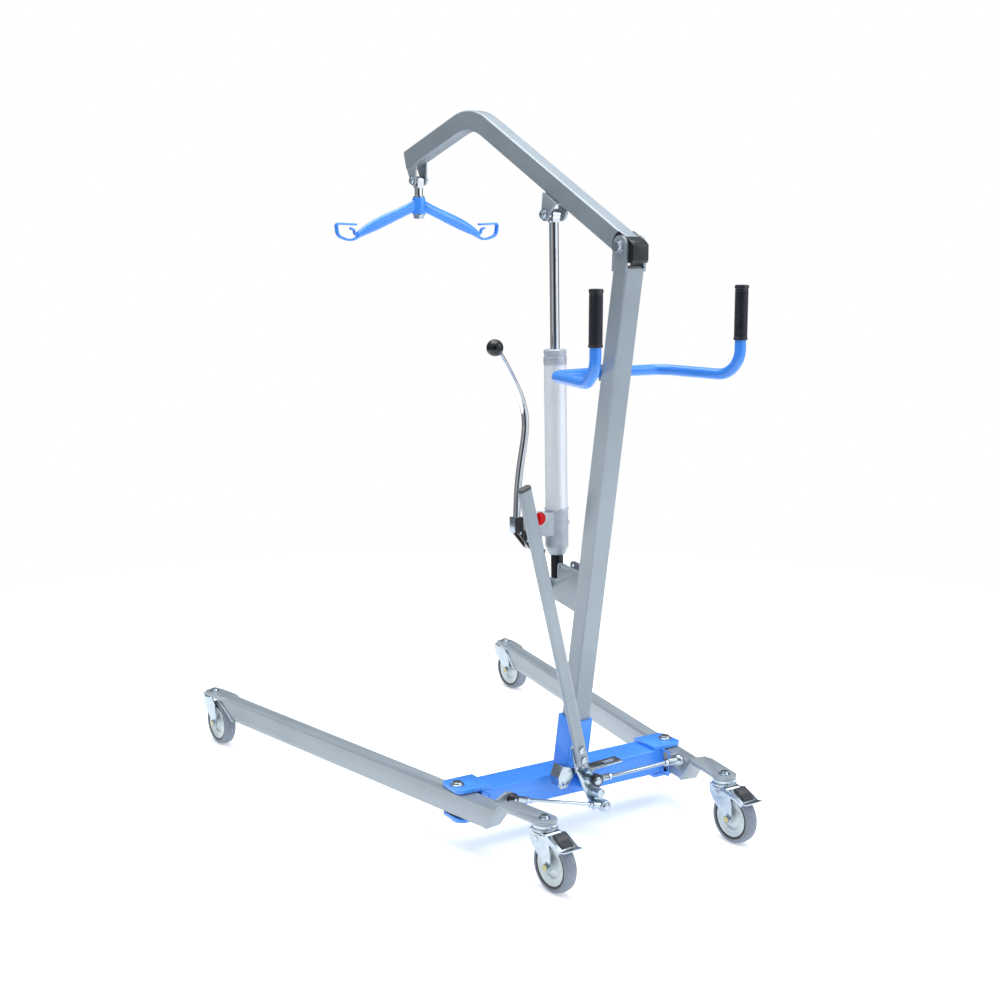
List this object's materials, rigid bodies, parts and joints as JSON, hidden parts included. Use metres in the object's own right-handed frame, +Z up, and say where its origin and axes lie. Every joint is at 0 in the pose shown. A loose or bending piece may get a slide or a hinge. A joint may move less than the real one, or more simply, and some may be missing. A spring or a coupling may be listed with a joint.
{
  "type": "patient lift hoist",
  "caption": "Mobile hydraulic patient lift: leaning mast, bent boom with swivelling spreader bar, hand pump and spreading legs on swivel casters.",
  "frame": {"origin": "on the floor, below the middle of the hoist's outline", "axes": "+Z up, +Y towards the operator's handles, -Y towards the leg tips, +X the operator's left"},
  "size_m": [0.8403, 1.1782, 1.3946],
  "materials": {
    "silver_paint": "silver-grey powder coat",
    "blue_paint": "gloss blue powder coat",
    "cylinder_paint": "pale silver gloss paint",
    "zinc": "bright zinc plate",
    "chrome": "polished hard chrome",
    "cast_alloy": "grey painted casting",
    "dark_steel": "blackened steel",
    "black_steel": "satin black paint",
    "black_plastic": "moulded, satin gloss",
    "black_rubber": "ribbed soft PVC",
    "grey_plastic": "moulded",
    "red_plastic": "moulded gloss",
    "white_plastic": "moulded, satin",
    "grey_tyre": "non-marking grey rubber"
  },
  "bodies": {
    "chassis": {"crossbar": "blue_paint", "mast_socket": "blue_paint", "socket_screws": "zinc", "mast": "silver_paint", "mast_top_cap": "black_plastic", "boom_pivot_bolt": "zinc", "pump_bracket": "silver_paint", "foot_pivot_bolt": "zinc", "leg_pivot_bolts": "zinc", "leg_pivot_bushes": "black_plastic", "stop_plate": "zinc", "push_handle": "blue_paint", "handle_saddle": "zinc", "handle_grips": "black_rubber"},
    "boom_arm": {"boom": "silver_paint", "boom_end_cap": "black_plastic", "boom_clevis": "silver_paint", "clevis_studs": "zinc", "hanger_lugs": "silver_paint", "hanger_bolt": "zinc"},
    "hanger": {"hanger_pin": "chrome", "swivel_nut": "zinc"},
    "spreader": {"spreader_hub": "blue_paint", "spreader_arms": "blue_paint", "sling_hooks": "blue_paint"},
    "cylinder": {"cylinder_tube": "cylinder_paint", "cylinder_head": "cast_alloy", "pump_body": "cast_alloy", "pump_foot": "dark_steel"},
    "rod": {"piston_rod": "chrome", "piston": "dark_steel"},
    "pump_handle": {"lever_socket": "black_steel", "pump_lever": "chrome", "lever_knob": "black_plastic"},
    "plunger": {"pump_plunger": "chrome"},
    "valve_knob": {"release_knob": "red_plastic"},
    "spread_handle": {"crank_plate": "zinc", "spread_lever": "silver_paint", "spread_lever_cap": "grey_plastic", "crank_fasteners": "zinc"},
    "left_rod": {"left_tie_rod": "zinc"},
    "right_rod": {"right_tie_rod": "zinc"},
    "left_leg_frame": {"left_leg": "silver_paint", "left_leg_fasteners": "zinc"},
    "left_rear_caster": {"left_rear_caster_fork": "zinc"},
    "left_rear_wheel": {"left_rear_caster_rim": "white_plastic", "left_rear_caster_tyre": "grey_tyre"},
    "left_front_caster": {"left_front_caster_fork": "zinc"},
    "left_front_wheel": {"left_front_caster_rim": "white_plastic", "left_front_caster_tyre": "grey_tyre"},
    "left_brake": {"left_brake_pedal": "zinc"},
    "right_leg_frame": {"right_leg": "silver_paint", "right_leg_fasteners": "zinc"},
    "right_rear_caster": {"right_rear_caster_fork": "zinc"},
    "right_rear_wheel": {"right_rear_caster_rim": "white_plastic", "right_rear_caster_tyre": "grey_tyre"},
    "right_front_caster": {"right_front_caster_fork": "zinc"},
    "right_front_wheel": {"right_front_caster_rim": "white_plastic", "right_front_caster_tyre": "grey_tyre"},
    "right_brake": {"right_brake_pedal": "zinc"}
  },
  "joints": [
    {"name": "boom_lift", "type": "hinge", "parent": "chassis", "child": "boom_arm", "pos_m": [0, 0.452, 1.13], "axis": [-1, 0, 0], "range_deg": [-59, 5]},
    {"name": "cylinder_tilt", "type": "hinge", "parent": "chassis", "child": "cylinder", "pos_m": [0, 0.235, 0.478], "axis": [-1, 0, 0], "range_deg": [-0.7, 7.2]},
    {"name": "rod_slide", "type": "slide", "parent": "cylinder", "child": "rod", "axis": [0, -0.0282, 0.9996], "range_m": [-0.2297, 0.0197]},
    {"name": "hanger_swing", "type": "hinge", "parent": "boom_arm", "child": "hanger", "pos_m": [0, -0.299, 1.261], "axis": [-1, 0, 0], "range_deg": [-5.1, 59.1]},
    {"name": "spreader_swivel", "type": "hinge", "parent": "hanger", "child": "spreader", "pos_m": [0, -0.299, 1.207], "axis": [0, 0, 1], "continuous": true},
    {"name": "pump_stroke", "type": "hinge", "parent": "cylinder", "child": "pump_handle", "pos_m": [0.062, 0.23263, 0.56197], "axis": [0, 0.9996, 0.0282], "range_deg": [0, 35]},
    {"name": "plunger_stroke", "type": "slide", "parent": "cylinder", "child": "plunger", "axis": [0, -0.0282, 0.9996], "range_m": [0, 0.0151]},
    {"name": "release_turn", "type": "hinge", "parent": "cylinder", "child": "valve_knob", "pos_m": [0.0555, 0.25116, 0.61451], "axis": [0, 0.9996, 0.0282], "range_deg": [0, 90]},
    {"name": "left_leg_spread", "type": "hinge", "parent": "chassis", "child": "left_leg_frame", "pos_m": [0.25, 0.268, 0.0925], "axis": [0, 0, 1], "range_deg": [-9.9, 0]},
    {"name": "right_leg_spread", "type": "hinge", "parent": "chassis", "child": "right_leg_frame", "pos_m": [-0.25, 0.268, 0.0925], "axis": [0, 0, 1], "range_deg": [0, 9.9]},
    {"name": "spread_lever_swing", "type": "hinge", "parent": "chassis", "child": "spread_handle", "pos_m": [-0.003, 0.352, 0.092], "axis": [0, 1, 0], "range_deg": [-39.25, 0]},
    {"name": "left_tie_rod_turn", "type": "hinge", "parent": "left_leg_frame", "child": "left_rod", "pos_m": [0.197, 0.379, 0.121], "axis": [0, 0, 1], "range_deg": [0, 11.95]},
    {"name": "right_tie_rod_turn", "type": "hinge", "parent": "right_leg_frame", "child": "right_rod", "pos_m": [-0.197, 0.379, 0.121], "axis": [0, 0, 1], "range_deg": [-11.95, 0]},
    {"name": "left_rear_caster_swivel", "type": "hinge", "parent": "left_leg_frame", "child": "left_rear_caster", "pos_m": [0.20915, 0.50206, 0.1], "axis": [0, 0, 1], "continuous": true},
    {"name": "left_rear_wheel_spin", "type": "hinge", "parent": "left_rear_caster", "child": "left_rear_wheel", "pos_m": [0.20699, 0.53299, 0.05], "axis": [-0.9976, -0.0698, 0], "continuous": true},
    {"name": "left_brake_press", "type": "hinge", "parent": "left_rear_caster", "child": "left_brake", "pos_m": [0.20887, 0.50605, 0.095], "axis": [-0.9976, -0.0698, 0], "range_deg": [0, 2]},
    {"name": "left_front_caster_swivel", "type": "hinge", "parent": "left_leg_frame", "child": "left_front_caster", "pos_m": [0.39619, -0.56964, 0.1], "axis": [0, 0, 1], "continuous": true},
    {"name": "left_front_wheel_spin", "type": "hinge", "parent": "left_front_caster", "child": "left_front_wheel", "pos_m": [0.39403, -0.53871, 0.05], "axis": [-0.9976, -0.0698, 0], "continuous": true},
    {"name": "right_rear_caster_swivel", "type": "hinge", "parent": "right_leg_frame", "child": "right_rear_caster", "pos_m": [-0.20915, 0.50206, 0.1], "axis": [0, 0, 1], "continuous": true},
    {"name": "right_rear_wheel_spin", "type": "hinge", "parent": "right_rear_caster", "child": "right_rear_wheel", "pos_m": [-0.21131, 0.53299, 0.05], "axis": [-0.9976, -0.0698, 0], "continuous": true},
    {"name": "right_brake_press", "type": "hinge", "parent": "right_rear_caster", "child": "right_brake", "pos_m": [-0.20943, 0.50605, 0.095], "axis": [-0.9976, -0.0698, 0], "range_deg": [0, 2]},
    {"name": "right_front_caster_swivel", "type": "hinge", "parent": "right_leg_frame", "child": "right_front_caster", "pos_m": [-0.39619, -0.56964, 0.1], "axis": [0, 0, 1], "continuous": true},
    {"name": "right_front_wheel_spin", "type": "hinge", "parent": "right_front_caster", "child": "right_front_wheel", "pos_m": [-0.39835, -0.53871, 0.05], "axis": [-0.9976, -0.0698, 0], "continuous": true}
  ],
  "couplings": [
    {"joint": "cylinder_tilt", "follows": "boom_lift", "ratio": -0.1203},
    {"joint": "rod_slide", "follows": "boom_lift", "m_per_rad": 0.2227},
    {"joint": "hanger_swing", "follows": "boom_lift", "ratio": -1},
    {"joint": "plunger_stroke", "follows": "pump_stroke", "m_per_rad": 0.0245},
    {"joint": "right_leg_spread", "follows": "left_leg_spread", "ratio": -1},
    {"joint": "spread_lever_swing", "follows": "left_leg_spread", "ratio": 3.96},
    {"joint": "left_tie_rod_turn", "follows": "left_leg_spread", "ratio": -1.205},
    {"joint": "right_tie_rod_turn", "follows": "left_leg_spread", "ratio": 1.205}
  ]
}
